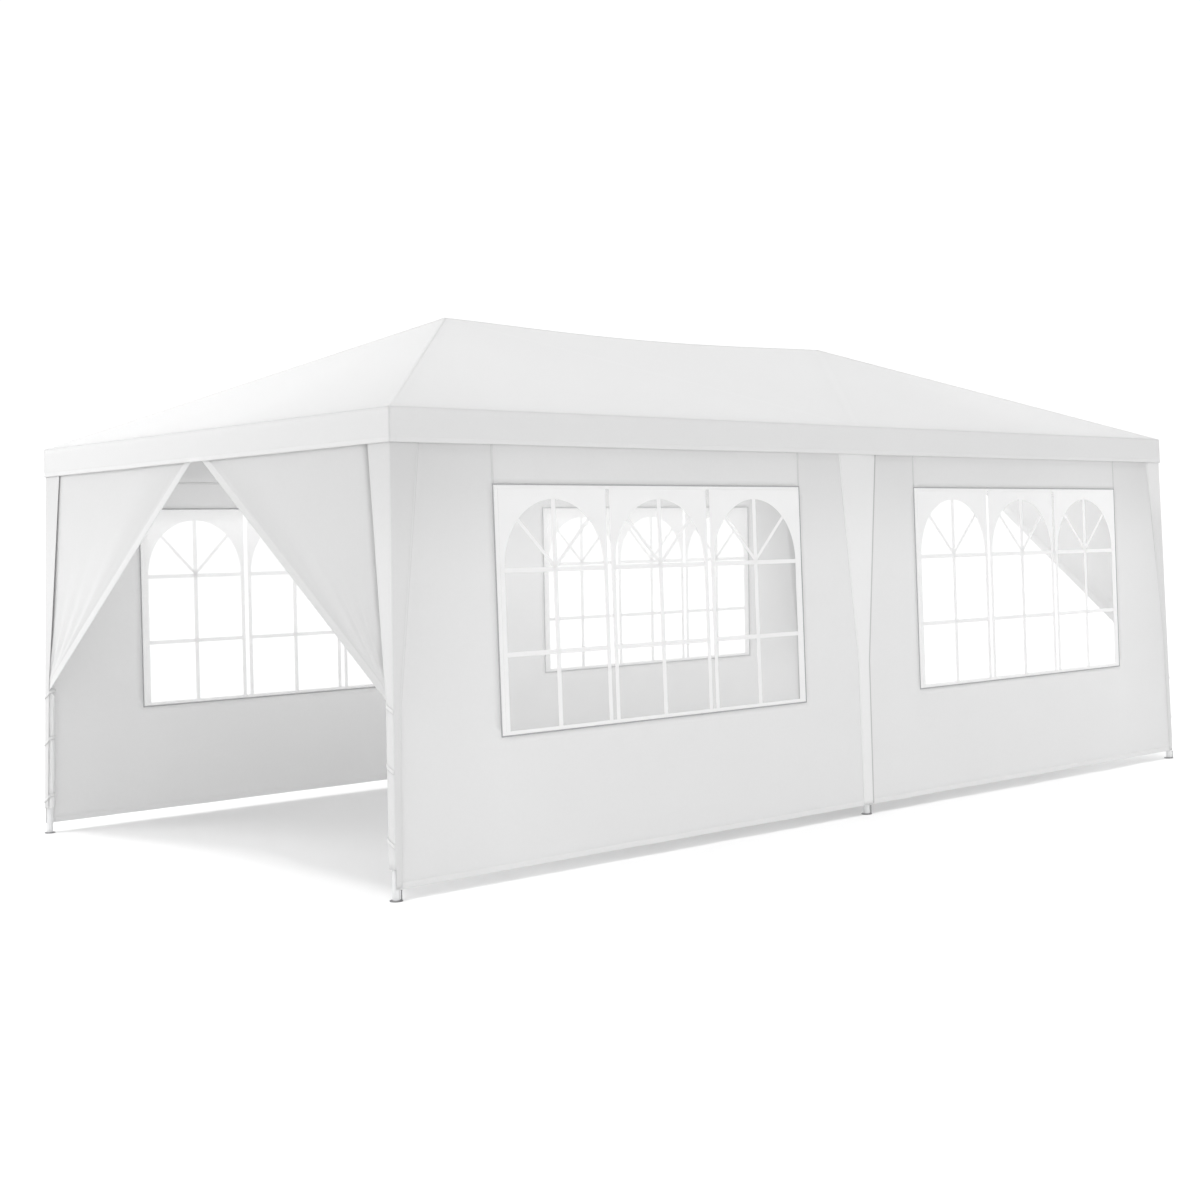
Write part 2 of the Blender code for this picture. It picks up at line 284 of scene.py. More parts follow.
class Nodes:
    """The nodes of a new material."""

    def __init__(self, name):
        self.material = bpy.data.materials.new(name)
        self.material.use_nodes = True
        self.tree = self.material.node_tree
        self.place = self.add("TexCoord", {}, "Object")

    def feed(self, node, inputs):
        """Gives a node's inputs, by name or number, plain values or other nodes' outputs."""
        for socket, source in inputs.items():
            if isinstance(source, bpy.types.NodeSocket):
                self.tree.links.new(source, node.inputs[socket])
            else:
                node.inputs[socket].default_value = source

    def add(self, kind, inputs, out=0, **settings):
        """Makes a node and returns one of its outputs."""
        node = self.tree.nodes.new("ShaderNode" + kind)
        for key, value in settings.items():
            setattr(node, key, value)
        self.feed(node, inputs)
        return node.outputs[out]

    def noise(self, scale, detail, roughness=0.5, distortion=0.0):
        values = {"Scale": scale, "Detail": detail, "Roughness": roughness, "Distortion": distortion}
        return self.add("TexNoise", {"Vector": self.place, **values})

    def calculate(self, operation, *values):
        return self.add("Math", dict(enumerate(values)), operation=operation)

    def span(self, share, low, high):
        """Maps a share from 0 to 1 onto a range of numbers."""
        return self.add("MapRange", {"Value": share, "To Min": low, "To Max": high})

    def shade(self, share, dark, light):
        """Maps a share from 0 to 1 onto the colours between two."""
        return self.add("Mix", {0: share, 6: (*dark, 1), 7: (*light, 1)}, 2, data_type="RGBA")

    def bump(self, height, strength, distance, **more):
        return self.add("Bump", {"Height": height, "Strength": strength, "Distance": distance, **more})

    def weave(self, directions):
        """The relief of crossing tapes, as the sum of fine waves."""
        values = {"Vector": self.place, "Scale": math.tau / (20 * WEAVE_PITCH), "Distortion": 0.0}
        waves = [self.add("TexWave", values, "Fac", bands_direction=direction) for direction in directions]
        total = waves[0]
        for wave in waves[1:]:
            total = self.calculate("ADD", total, wave)
        return total

    def finish(self, colour, roughness, more, glow=0.0, through=None):
        """The finished material. glow is how much light comes through."""
        shader = self.tree.nodes["Principled BSDF"]
        self.feed(shader, {"Base Color": colour, "Roughness": roughness, **more})
        if through:
            mixed = self.add("MixShader", {0: glow, 1: shader.outputs[0], 2: through})
            self.feed(self.tree.nodes["Material Output"], {"Surface": mixed})
        return self.material


def cloth_material(name, dark, light, roughness, glow, tapes="XYZ", creases=0.25, painted_eave_shade=0.0):
    """Coated woven sheet: soft wrinkles, a fine weave, uneven gloss, and light that comes through it.

    Folded cloth is lighter and lets less light through; the same attribute also carries painted light
    and painted shade. The last argument is how much painted shade greys the cloth towards the eave.
    """
    nodes = Nodes(name)
    broad = nodes.noise(0.9, 3.0)
    mottle = nodes.calculate("MULTIPLY", nodes.calculate("ADD", broad, nodes.noise(60.0, 4.0, 0.6)), 0.5)
    folds_and_painted_light = nodes.add("Attribute", {}, "Fac", attribute_name="folds_and_painted_light")
    height = nodes.add("SeparateXYZ", {"Vector": nodes.place}, "Z")
    # Painted shade towards the eave, and the points' painted light and shade, scale the colour
    rise = {"Value": height, "From Min": SHADE_FROM_Z, "From Max": SHADE_TO_Z, "To Max": -painted_eave_shade}
    eave_shade = nodes.add("MapRange", rise, interpolation_type="SMOOTHSTEP")
    lift = nodes.calculate("MULTIPLY_ADD", folds_and_painted_light, FOLD_AND_PAINTED_LIGHT_GAIN, eave_shade)
    tone = {0: nodes.shade(mottle, dark, light), "Scale": nodes.calculate("ADD", lift, 1.0)}
    colour = nodes.add("VectorMath", tone, operation="SCALE")
    relief = nodes.bump(nodes.noise(3.2, 4.0, 0.55, 0.6), creases, 0.010)
    gloss = nodes.span(broad, roughness - 0.08, roughness + 0.08)
    woven = nodes.bump(nodes.weave(tapes), 0.12, 0.0004, Normal=relief)
    through = nodes.add("BsdfTranslucent", {"Color": colour, "Normal": relief})
    share = nodes.span(folds_and_painted_light, glow, FOLD_BLOCKS * glow)
    return nodes.finish(colour, gloss, {"Normal": woven, "Specular IOR Level": 0.3}, share, through)


def film_material():
    """Clear sheet: a thin milky veil, and more shine where it is seen at a slant."""
    nodes = Nodes("window_film")
    haze = nodes.noise(9.0, 5.0)
    slant = nodes.add("LayerWeight", {"Blend": 0.25}, "Facing")
    more = {
        "Alpha": nodes.calculate("ADD", nodes.span(haze, 0.07, 0.11), nodes.span(slant, 0.0, 0.20)),
        "Normal": nodes.bump(nodes.noise(2.5, 2.0), 0.3, 0.01),
        "Specular IOR Level": 0.8,
    }
    return nodes.finish(nodes.shade(haze, grey(0.94), grey(0.975)), nodes.span(haze, 0.06, 0.16), more)


def print_material(name, dark, light, roughness, glow):
    """White ink or tape on the clear film, with a faint grain. Some light comes through it."""
    nodes = Nodes(name)
    mottle = nodes.noise(14.0, 5.0)
    gloss = nodes.span(mottle, roughness - 0.07, roughness + 0.07)
    more = {"Normal": nodes.bump(nodes.noise(420.0, 2.0), 0.15, 0.0005)}
    through = nodes.add("BsdfTranslucent", {"Color": (*light, 1)})
    return nodes.finish(nodes.shade(mottle, dark, light), gloss, more, glow, through)


def metal_material(name, dark, light, roughness, metallic, streak):
    """Painted or zinc-coated steel: fine orange peel, and drawn or mottled wear."""
    nodes = Nodes(name)
    mottle = nodes.noise(streak, 6.0, 0.65)
    worn = nodes.add("MapRange", {"Value": mottle, "From Min": 0.35, "From Max": 0.75})
    gloss = nodes.span(mottle, roughness - 0.1, roughness + 0.1)
    more = {"Metallic": metallic, "Normal": nodes.bump(nodes.noise(900.0, 2.0), 0.2, 0.0003)}
    return nodes.finish(nodes.shade(worn, dark, light), gloss, more)


def floor_material():
    nodes = Nodes("studio_floor")
    colour = nodes.shade(nodes.noise(0.4, 2.0), grey(0.89), grey(0.91))
    return nodes.finish(colour, 0.9, {"Specular IOR Level": 0.1})


# Painted light and shade: the roof, wall, door and flap cloth are lighter and darker copies of one white
# cloth, for how the light falls on each part
ROOF_CLOTH = cloth_material("roof_cloth", grey(0.815), grey(0.855), 0.55, 0.40, tapes="XY")
WALL_CLOTH = cloth_material("wall_cloth", grey(0.83), grey(0.88), 0.60, 0.32, painted_eave_shade=0.10)
DOOR_CLOTH = cloth_material("door_cloth", grey(0.77), grey(0.82), 0.60, 0.35, painted_eave_shade=0.03)
FLAP_CLOTH = cloth_material("flap_cloth", grey(0.71), grey(0.76), 0.55, 0.14, painted_eave_shade=0.12)
SEAM_CLOTH = cloth_material("seam_cloth", grey(0.84), grey(0.90), 0.50, 0.25, creases=0.1)
WALL_SEAM = cloth_material("wall_seam", grey(0.64), grey(0.70), 0.50, 0.15, creases=0.1)
EDGE_TAPE = cloth_material("edge_tape", (0.34, 0.34, 0.35), (0.42, 0.42, 0.43), 0.65, 0.02, creases=0.1)
PRINT = print_material("window_print", grey(0.93), grey(0.96), 0.45, 0.45)
BORDER = print_material("window_border", grey(0.94), grey(0.97), 0.35, 0.50)
CLEAR_FILM = film_material()
PAINT = metal_material("frame_paint", (0.70, 0.705, 0.71), (0.79, 0.795, 0.80), 0.35, 0.0, 18.0)
ZINC = metal_material("foot_steel", (0.20, 0.20, 0.205), (0.34, 0.34, 0.345), 0.45, 0.85, 60.0)

# Camera, floor and light

SKY_STRENGTH = 1.07
WIDE_BEAM = math.radians(110)

# Each lamp's kind, place, aim, power and own settings
LAMPS = {
    "top": ("SUN", (-1.2, -0.3, 10), (0, 0, 0), 0.66, {"angle": math.radians(10)}),
    "left_side": ("AREA", (-4.9, 1.85, 4.05), (-2.9, 0.8, 2.0), 36.5, {"shape": "DISK", "size": 2.0}),
    "right_end": (
        "AREA", (1.3, 0.1, 1.5), (3.0, -0.7, 1.5), 6.5,
        {"shape": "DISK", "size": 0.8, "spread": WIDE_BEAM},
    ),
    "inside": (
        "AREA", (0, -0.60, 1.60), (0, 1.5, 1.85), 13.8,
        {"shape": "RECTANGLE", "size": 5.4, "size_y": 0.3, "spread": WIDE_BEAM},
    ),
    "under_roof": (
        "AREA", (1.0, -0.1, 1.95), (1.0, -0.1, 0), 5.6,
        {"shape": "RECTANGLE", "size": 4.6, "size_y": 1.8},
    ),
}


def make_camera():
    """Looks from the photograph's viewpoint: turned, tipped down and rolled a little."""
    data = bpy.data.cameras.new("camera")
    data.lens = LENS
    data.sensor_width = SENSOR
    data.clip_end = 200
    azimuth, down = math.radians(LOOK_AZIMUTH), math.radians(LOOK_DOWN)
    ahead = Vector((math.sin(azimuth) * math.cos(down), math.cos(azimuth) * math.cos(down), -math.sin(down)))
    level = ahead.to_track_quat("-Z", "Y").to_matrix().to_4x4()
    roll = Matrix.Rotation(math.radians(LOOK_ROLL), 4, "Z")
    camera = new_object("camera", data)
    camera.matrix_world = Matrix.Translation(EYE) @ level @ roll
    bpy.context.scene.camera = camera


def make_floor():
    shape = bmesh.new()
    bmesh.ops.create_grid(shape, x_segments=8, y_segments=8, size=60)
    mesh = bpy.data.meshes.new("studio_floor")
    shape.to_mesh(mesh)
    shape.free()
    mesh.materials.append(floor_material())
    floor = new_object("studio_floor", mesh)
    floor.location.z = -0.0005


def make_lamp(name, kind, place, aim, power, settings):
    data = bpy.data.lights.new(name, kind)
    data.energy = power
    for key, value in settings.items():
        setattr(data, key, value)
    lamp = new_object(name, data)
    lamp.location = place
    lamp.rotation_euler = (Vector(aim) - Vector(place)).to_track_quat("-Z", "Y").to_euler()
    lamp.visible_camera = False


def make_studio():
    world = bpy.data.worlds.new("studio")
    bpy.context.scene.world = world
    world.use_nodes = True
    background = world.node_tree.nodes["Background"]
    background.inputs["Color"].default_value = (1, 1, 1, 1)
    background.inputs["Strength"].default_value = SKY_STRENGTH
    for name, lamp in LAMPS.items():
        make_lamp(name, *lamp)
    bpy.context.scene.view_settings.view_transform = "Standard"


# Cover

PANEL_STEPS = 44
CROWD = 1.5
PEAK_ROUND = 0.001
HOLLOW = 0.005
SAG_POWER = 1.4
SAG_POWER_LOW = 2.4
SLACK = 0.0035
PULL = 0.006
PULL_REACH = 0.7
RAFTER_BAND = 0.22
# Painted light: the valance below the eave is painted lighter than the roof, and lets less light through
VALANCE_PAINTED_LIGHT = 0.4
VALANCE_GROOVES = (0.0105, 0.1245)
VALANCE_DROPS = (
    0, 0.002, 0.006, 0.0095, 0.0105, 0.0115, 0.03, 0.05,
    0.075, 0.10, 0.118, 0.1235, 0.1245, 0.1255, 0.14, 0.1455,
)
HIP_SEAM = ((-0.0095, -0.0006), (-0.0085, 0.0004), (-0.004, 0.0007), (0, 0.0006))
SEAM_INSET = 0.004


def roof_height(x, y):
    """The cover's upper face over a place in plan, without its wrinkles."""
    rise = (WIDTH / 2 - abs(y)) / (WIDTH / 2)
    run_in = (LENGTH / 2 - abs(x)) / (LENGTH / 2 - CROWN_X)
    if run_in < rise:
        return lerp(EAVE_Z, PEAK_Z, run_in)
    sag = 0.0
    if rise > 0 and abs(x) < CROWN_X * rise:
        sag = RIDGE_SAG * (1 - (x / (CROWN_X * rise)) ** 2) ** SAG_POWER
    return EAVE_Z + rise * (PEAK_Z - sag - EAVE_Z)


def roof_relief(x, y):
    """Pull lines that run out from the two crowns, and the slackness between them."""
    total = SLACK * drift(x * 1.3, y * 1.3, 0.7)
    for crown in CROWNS.values():
        reach = math.hypot(x - crown, y)
        angle = math.atan2(y, x - crown)
        lines = drift(math.cos(angle) * 4.0, math.sin(angle) * 4.0, crown)
        total += PULL * lines * math.exp(-((reach / PULL_REACH) ** 2)) * smooth(0, 0.15, reach)
    return total


def panel_points(corners, saddle):
    """A roof panel's points, crowded towards its edges, and how far a rafter's band doubles each."""
    for i in range(PANEL_STEPS + 1):
        for j in range(PANEL_STEPS + 1 - i):
            raw = [(step / PANEL_STEPS) ** CROWD for step in (i, j, PANEL_STEPS - i - j)]
            share = [value / sum(raw) for value in raw]
            point = sum((corner * part for corner, part in zip(corners, share)), Vector())
            high = share[1] + share[2]
            if saddle and high > 0:
                across = 4 * share[1] * share[2] / high**2
                power = lerp(SAG_POWER, SAG_POWER_LOW, smooth(0, 0.4, share[0]))
                point.z -= RIDGE_SAG * high * across**power
            point.z -= HOLLOW * (27 * share[0] * share[1] * share[2]) ** 2
            point.z += roof_relief(point.x, point.y) * smooth(0, 0.10, min(share))
            beside = min(share[1:]) if saddle else min(share[:2])
            yield (i, j), point, RAFTER_BAND * (1 - smooth(0.008, 0.013, beside))


def roof_panels():
    """The corners of each of the roof's triangles, and whether it lies between the peaks."""
    eave = eave_points(LENGTH / 2, WIDTH / 2, EAVE_Z)
    peak = {bay: Vector((x, 0, PEAK_Z - PEAK_ROUND)) for bay, x in CROWNS.items()}
    for bay in ENDS:
        yield (eave["front", bay], eave["back", bay], peak[bay]), False
        for row in ROWS:
            yield (eave[row, bay], eave[row, "middle"], peak[bay]), False
    for row in ROWS:
        yield (eave[row, "middle"], peak["left"], peak["right"]), True


def eave_columns():
    """(side, u as a share of the half length, share of the length) once round the eave."""
    for side in SIDES.values():
        for bay in range(side.bays):
            for step in range(PANEL_STEPS):
                near, far = (step / PANEL_STEPS) ** CROWD, (1 - step / PANEL_STEPS) ** CROWD
                along = (bay + near / (near + far)) / side.bays
                yield side, 2 * along - 1, along


def valance_flare(side, share, depth):
    """How far the valance stands out at a share of the side's length and of its own depth."""
    along = share * 2 * side.eave_half
    seed = 3.1 * side.index
    held = smooth(0, 0.08, share) * smooth(0, 0.08, 1 - share)
    waves = drift(along * 1.7, seed, 0.3) + 0.4 * drift(along * 4.1, seed, 5.3)
    return depth**1.4 * held * max(0.005 * waves - 0.0015, -0.0018)


def valance_row(drop):
    """Points once round the tent, this far below the eave."""
    z, depth = EAVE_Z - drop, drop / VALANCE_DROPS[-1]
    row = []
    for side, across, share in eave_columns():
        if drop == 0:
            row.append(side.turn @ Vector((across * side.eave_half, -side.eave_out, EAVE_Z)))
            continue
        out = VALANCE_FACE + valance_flare(side, share, depth)
        if drop in VALANCE_GROOVES:
            out -= STITCH_GROOVE / 2
        swing = 0.002 * depth * math.sin(math.pi * share) * drift(share * 9, drop, 1.7)
        row.append(side.point(across * side.corner(z, VALANCE_FACE), z + swing, out))
    return row


def make_cover():
    """Roof and valance in one sheet."""
    cover = Builder()
    for corners, saddle in roof_panels():
        made = {}
        for key, point, layers in panel_points(corners, saddle):
            made[key] = cover.shape.verts.new(point)
            made[key][cover.folds_and_painted_light] = layers
        for i in range(PANEL_STEPS):
            for j in range(PANEL_STEPS - i):
                cover.shape.faces.new((made[i, j], made[i + 1, j], made[i, j + 1]))
                if i + j < PANEL_STEPS - 1:
                    cover.shape.faces.new((made[i + 1, j], made[i + 1, j + 1], made[i, j + 1]))
    rows = [valance_row(drop) for drop in VALANCE_DROPS]
    # Painted light on the valance
    cover.patch(rows, closed=True, folds_and_painted_light=lambda row, column: VALANCE_PAINTED_LIGHT if row > 1 else 0.0)
    bmesh.ops.remove_doubles(cover.shape, verts=cover.shape.verts, dist=1e-4)
    replaced = [f"{kind}_{side}" for kind in ("roof_slope", "valance") for side in SIDES]
    return cover.piece("canopy_cover", ROOF_CLOTH, "roof_cloth", *replaced, thickness=SHEET)


def make_roof_seams():
    """Felled seams that lie on the hips and the ridge."""
    seams = Builder()
    profile = list(HIP_SEAM) + [(-across, up) for across, up in reversed(HIP_SEAM[:-1])]
    lines = []
    for sx in (-1, 1):
        for sy in (-1, 1):
            corner = Vector((sx * (LENGTH / 2 - SEAM_INSET), sy * (WIDTH / 2 - SEAM_INSET)))
            lines.append((corner, Vector((sx * (CROWN_X + SEAM_INSET), sy * SEAM_INSET))))
    for start, end in lines + [(Vector((-CROWN_X, 0)), Vector((CROWN_X, 0)))]:
        along = (end - start).normalized()
        sideways = Vector((-along.y, along.x))
        rows = []
        for share in spaced(0, 1, 60):
            places = [(start.lerp(end, share) + sideways * across, up) for across, up in profile]
            rows.append([Vector((*place, roof_height(*place) + up)) for place, up in places])
        seams.patch(rows, folds_and_painted_light=lambda row, column: RAFTER_BAND)
    return seams.piece("roof_seams", ROOF_CLOTH, "roof_cloth", thickness=0.0005)


# Walls and their seams

WALL_OVER = 0.0145
HEM_BAND = 0.025
BESIDE_STEPS = 12
WINDOW_STEPS = 44
# Painted shade at a wall's corner end
CORNER_PAINTED_SHADE = -0.9
# Painted light above the window
OVER_WINDOW_PAINTED_LIGHT = 0.22
INNER_SEAM_Z = 1.840
UPRIGHT_SEAM = ((-0.006, 0), (-0.0055, 0.0009), (0.001, 0.0011), (0.0055, 0.0007), (0.006, 0))
INNER_SEAM = ((-0.006, 0), (-0.0055, 0.0009), (0.0055, 0.0009), (0.006, 0))


def wall_ripple(side, u, z):
    """How far a wall stands off its plane. It lies close to the legs, the valance and the window."""
    seed = 7.3 * side.index
    near_leg = min(side.corner(z) - abs(u), abs(u))
    past_window = max(WINDOW_NEAR - abs(u), abs(u) - WINDOW_FAR, WINDOW_LOW - z, z - WINDOW_HIGH)
    below_eave = NODE_Z - 0.1 - z
    held = smooth(0.10, 0.45, near_leg) * smooth(0.05, 0.35, below_eave) * smooth(0.0, 0.18, past_window)
    folds = drift(u * 2.3, z * 0.5, seed) + 0.5 * drift(u * 5.5, z * 0.9, seed + 9)
    return held * (0.005 * folds * (1.2 - z / NODE_Z))


def make_wall(side, sign, place):
    """One bay's wall, with the hole for its window."""
    wall = Builder()
    stitch_z = HEM_Z + HEM_BAND
    heights = [HEM_Z, HEM_Z + 0.002, stitch_z - 0.0015, stitch_z, stitch_z + 0.0015]
    heights += spaced(HEM_Z + 0.045, WINDOW_LOW, 14)
    low_row = len(heights) - 1
    heights += spaced(WINDOW_LOW, WINDOW_HIGH, 24)[1:]
    high_row = len(heights) - 1
    heights += spaced(WINDOW_HIGH, NODE_Z, 10)[1:]
    rows = []
    for z in heights:
        across = spaced(PANEL_SEAM / 2, WINDOW_NEAR, BESIDE_STEPS)
        across += spaced(WINDOW_NEAR, WINDOW_FAR, WINDOW_STEPS)[1:]
        across += spaced(WINDOW_FAR, side.corner(z, WALL_OVER), BESIDE_STEPS)[1:]
        groove = STITCH_GROOVE if z == stitch_z else 0
        places = [(sign * u, WALL_OUT + wall_ripple(side, sign * u, z) - groove) for u in across]
        rows.append([side.point(u, z, out) for u, out in places])
    far_step = BESIDE_STEPS + WINDOW_STEPS

    def in_window(index, step):
        return low_row <= index < high_row and BESIDE_STEPS <= step < far_step

    def layers(index, step):
        """Painted shade towards the corner, and painted light above the window."""
        if index > high_row and BESIDE_STEPS < step < far_step:
            return OVER_WINDOW_PAINTED_LIGHT
        return CORNER_PAINTED_SHADE * max((step - far_step) / BESIDE_STEPS, 0)

    wall.patch(rows, hole=in_window, folds_and_painted_light=layers)
    return wall.piece(f"wall_cloth_{place}", WALL_CLOTH, "wall_cloth", f"wall_{place}", **HUNG)


def make_wall_seams(side, sign, place):
    """The two seams that run up from the window's corners, and the one along the inside."""
    seams = Builder()
    for middle in (WINDOW_NEAR, WINDOW_FAR):
        places = [(sign * middle + off, WALL_OUT + SHEET / 2 + up) for off, up in UPRIGHT_SEAM]
        heights = spaced(WINDOW_HIGH + 0.006, VALANCE_Z + 0.05, 8)
        seams.patch([[side.point(u, z, out) for u, out in places] for z in heights])
    rows = []
    for off, lift in INNER_SEAM:
        z, sunk = INNER_SEAM_Z + off, SHEET / 2 + lift
        across = [sign * u for u in spaced(PANEL_SEAM / 2 + 0.002, side.corner(z, -TUBE_R), 40)]
        rows.append([side.point(u, z, WALL_OUT + wall_ripple(side, u, z) - sunk) for u in across])
    seams.patch(rows)
    return seams.piece(f"wall_seams_{place}", WALL_SEAM, "wall_cloth", thickness=0.0004)


# Windows

BORDER_SIDE = 0.024
BORDER_TOP = 0.016
BORDER_BOTTOM = 0.018
BORDER_PROFILE = ((0, 0), (0.06, 0.0010), (0.5, 0.0012), (0.94, 0.0010), (1, 0.0002))
BINDING_PROFILE = ((0, 0), (0.1, 0.0013), (0.5, 0.0020), (0.9, 0.0016), (1, 0.0004))
BINDING_OUTSIDE = 0.0045
BINDING_INSIDE = 0.0015
ARCHES = 3
ARCH_GAP = 0.024
STILE = 0.022
BAR = 0.020
MULLION = 0.024
RAY = 0.016
SPRING_Z = 1.336
APEX_Z = 1.633
RAIL_Z = 0.965
PRINT_UP = 0.0006
PRINTED = {"thickness": 0.0004, "flat": True}


def window_ring(side, sign, outside, inside, profile):
    """Rows of points round a window, each further in. profile is a list of (share inwards, lift).

    outside and inside are distances inwards from the window's sides, its foot and its top.
    """
    rows = []
    for inwards, lift in profile:
        beside, below, above = (lerp(start, end, inwards) for start, end in zip(outside, inside))
        left = sign * WINDOW_MIDDLE - WINDOW_WIDTH / 2 + beside
        right = sign * WINDOW_MIDDLE + WINDOW_WIDTH / 2 - beside
        low, high = WINDOW_LOW + below, WINDOW_HIGH - above
        path = [(u, low) for u in spaced(left, right, 12)] + [(right, z) for z in spaced(low, high, 12)[1:]]
        path += [(u, high) for u in spaced(right, left, 12)[1:]]
        path += [(left, z) for z in spaced(high, low, 12)[1:-1]]
        rows.append([side.point(u, z, WALL_OUT + SHEET / 2 + lift) for u, z in path])
    return rows


def make_border(side, sign, place):
    """The white tape that holds the film, and the thin grey binding round it."""
    tape = Builder()
    inner_edge = (BORDER_SIDE, BORDER_BOTTOM, BORDER_TOP)
    tape.patch(window_ring(side, sign, (0.001,) * 3, inner_edge, BORDER_PROFILE), closed=True)
    white = tape.piece(f"window_border_{place}", BORDER, "window_print", **PRINTED)
    back = [(share, -SHEET - lift) for share, lift in reversed(BINDING_PROFILE)]
    binding = Builder()
    edges = (-BINDING_OUTSIDE,) * 3, (BINDING_INSIDE,) * 3
    rows = window_ring(side, sign, *edges, [*BINDING_PROFILE, *back])
    binding.patch(rows, closed=True, looped=True)
    return white, binding.piece(f"window_binding_{place}", EDGE_TAPE, "edge_tape")


def make_bars(side, sign, place):
    """The printed bars, arches and spandrels of the window's three lights."""
    left = sign * WINDOW_MIDDLE - WINDOW_WIDTH / 2 + BORDER_SIDE
    width = (WINDOW_WIDTH - 2 * BORDER_SIDE - (ARCHES - 1) * ARCH_GAP) / ARCHES
    half, rise = width / 2 - STILE, APEX_Z - SPRING_Z
    low, high = WINDOW_LOW + BORDER_BOTTOM, WINDOW_HIGH - BORDER_TOP
    bars = Builder()

    def patch(rows, up):
        bars.patch([[side.point(u, z, WALL_OUT + up) for u, z in line] for line in rows])

    def bar(start, end, thick, up):
        """A straight bar between two points of the window."""
        along = Vector((end[0] - start[0], end[1] - start[1])).normalized()
        across = Vector((-along.y, along.x)) * thick / 2
        spine = zip(spaced(start[0], end[0], 6), spaced(start[1], end[1], 6))
        patch([[(u + across.x, z + across.y), (u - across.x, z - across.y)] for u, z in spine], up)

    for number in range(ARCHES):
        u0 = left + number * (width + ARCH_GAP)
        u1 = u0 + width
        middle = (u0 + u1) / 2
        steps, top = 8, 16
        angles = spaced(0, math.pi, 2 * steps + top)
        arch = [(middle + half * math.cos(angle), SPRING_Z + rise * math.sin(angle)) for angle in angles]
        outline = [(u1, z) for z in spaced(SPRING_Z, high, steps)]
        outline += [(u, high) for u in spaced(u1, u0, top)[1:]]
        outline += [(u0, z) for z in spaced(high, SPRING_Z, steps)[1:]]
        patch([arch, outline], 3 * PRINT_UP)
        for inner, outer in ((u0 + STILE, u0), (u1 - STILE, u1)):
            patch([[(inner, z), (outer, z)] for z in spaced(low, SPRING_Z, 12)], 3 * PRINT_UP)
        bar((middle, low), (middle, APEX_Z + 0.004), MULLION, 2 * PRINT_UP)
        for z in (SPRING_Z - BAR / 2, RAIL_Z):
            bar((middle - half - 0.003, z), (middle + half + 0.003, z), BAR, 1.4 * PRINT_UP)
        for lean in (math.radians(45), math.radians(135)):
            tip = 1 / math.hypot(math.cos(lean) / half, math.sin(lean) / rise) + 0.004
            end = (middle + tip * math.cos(lean), SPRING_Z + tip * math.sin(lean))
            bar((middle, SPRING_Z), end, RAY, 0.8 * PRINT_UP)
    return bars.piece(f"window_bars_{place}", PRINT, "window_print", **PRINTED)


def make_film(side, sign, place):
    film = Builder()
    across = [sign * u for u in spaced(WINDOW_NEAR + 0.002, WINDOW_FAR - 0.002, 28)]
    heights = spaced(WINDOW_LOW + 0.002, WINDOW_HIGH - 0.002, 16)
    film.patch([[side.point(u, z, WALL_OUT) for u in across] for z in heights])
    node = f"window_film_{place}"
    return film.piece(f"window_sheet_{place}", CLEAR_FILM, "window_film", node, thickness=FILM)


# Leg flaps

FLAP_EDGE = (0, 0.0008, 0.009, 0.010, 0.011)
FLAP_STITCH = 3
FLAP_INNER = 0.016
FLAP_ROUND = 0.008
FLAP_CLING = 0.0022
FLAP_CROWN = 0.0010
FLAP_END_Z = HEM_Z + 0.006
# Painted light at the top of the right-hand flaps
FLAP_TOP_PAINTED_LIGHT = {"left": 0.0, "right": 2.0}
# Painted light on the doorway-side arm of each corner flap
END_ARM_PAINTED_LIGHT = 0.4
# Painted light over the whole middle flap
MIDDLE_FLAP_PAINTED_LIGHT = 1.6
# Painted shadow along the middle flap's right edge
MIDDLE_EDGE_PAINTED_SHADOW = -5.0


def flap_reach(z):
    """How far a leg flap reaches from the corner, or to each side of a middle leg, at a height."""
    if z >= FLAP_NECK_Z:
        return lerp(FLAP_NECK, FLAP_TOP, (z - FLAP_NECK_Z) / (FLAP_TOP_Z - FLAP_NECK_Z))
    return lerp(FLAP_LOW, FLAP_NECK, (z - FLAP_LOW_Z) / (FLAP_NECK_Z - FLAP_LOW_Z))


def flap_heights():
    """From the wall's hem up to the valance, with a row where a corner's shorter arm ends."""
    heights = spaced(FLAP_END_Z, FLAP_LOW_Z, 4)[:-1] + spaced(FLAP_LOW_Z, FLAP_NECK_Z, 26)
    return heights + spaced(FLAP_NECK_Z, FLAP_TOP_Z, 30)[1:]


